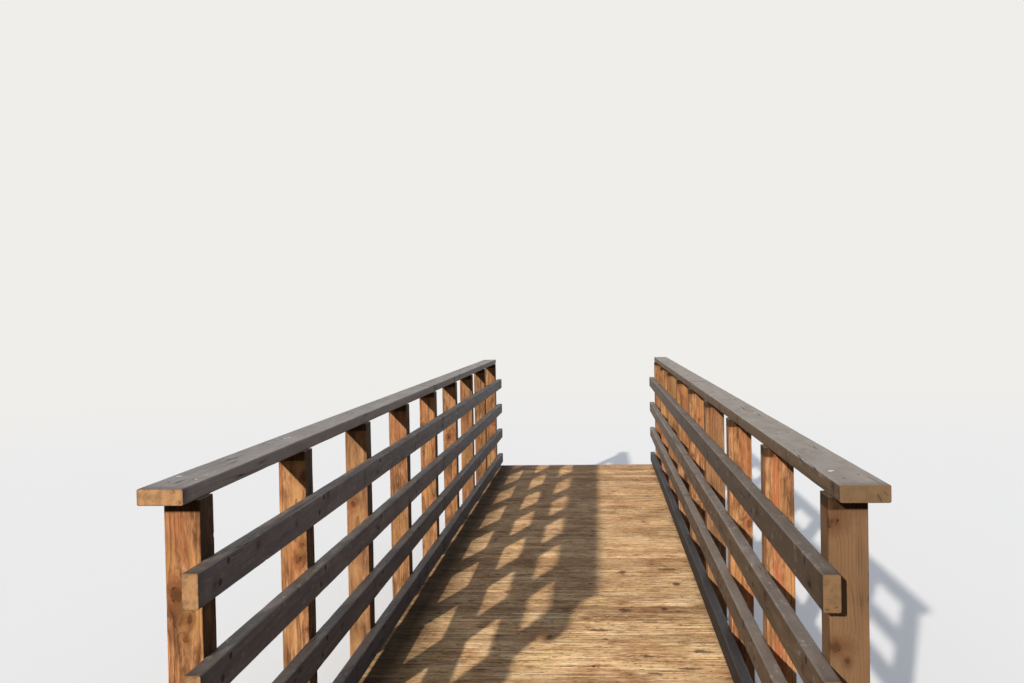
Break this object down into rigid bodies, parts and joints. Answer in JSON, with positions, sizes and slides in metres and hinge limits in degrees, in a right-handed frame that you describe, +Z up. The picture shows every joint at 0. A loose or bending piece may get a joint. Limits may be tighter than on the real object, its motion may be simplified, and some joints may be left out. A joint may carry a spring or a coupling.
{
  "type": "wooden footbridge",
  "caption": "Straight timber footbridge: grooved boards on deep beams between bank sills, with square posts, horizontal rails and a flat cap along both sides.",
  "frame": {"origin": "middle of the bridge's bounding box, on the level that the bank sills rest on", "axes": "+X across the bridge to the right, seen from the near end; +Y along the bridge from the near bank to the far bank; +Z up"},
  "size_m": [2, 8.37, 1.587],
  "materials": {
    "sill_timber": "rough sawn, weathered",
    "beam_timber": "sawn, pressure treated brown",
    "block_timber": "sawn, pressure treated brown",
    "deck_timber": "grooved, weathered, matt",
    "post_timber": "planed, pressure treated brown",
    "rail_timber": "planed, weathered dark brown",
    "cap_timber": "planed, weathered grey"
  },
  "bodies": {
    "root": {"near_bank_sill": "sill_timber", "far_bank_sill": "sill_timber", "left_beam": "beam_timber", "middle_beam": "beam_timber", "right_beam": "beam_timber", "blocking_1": "block_timber", "blocking_2": "block_timber", "blocking_3": "block_timber", "blocking_4": "block_timber", "blocking_5": "block_timber", "deck_near_end": "deck_timber", "deck_near_middle": "deck_timber", "deck_far_middle": "deck_timber", "deck_far_end": "deck_timber", "left_post_1": "post_timber", "left_post_2": "post_timber", "left_post_3": "post_timber", "left_post_4": "post_timber", "left_post_5": "post_timber", "left_post_6": "post_timber", "left_post_7": "post_timber", "left_post_8": "post_timber", "left_post_9": "post_timber", "right_post_1": "post_timber", "right_post_2": "post_timber", "right_post_3": "post_timber", "right_post_4": "post_timber", "right_post_5": "post_timber", "right_post_6": "post_timber", "right_post_7": "post_timber", "right_post_8": "post_timber", "right_post_9": "post_timber", "left_rail_bottom": "rail_timber", "left_rail_lower": "rail_timber", "left_rail_upper": "rail_timber", "left_rail_top": "rail_timber", "right_rail_bottom": "rail_timber", "right_rail_lower": "rail_timber", "right_rail_upper": "rail_timber", "right_rail_top": "rail_timber", "left_cap": "cap_timber", "right_cap": "cap_timber"}
  },
  "joints": []
}
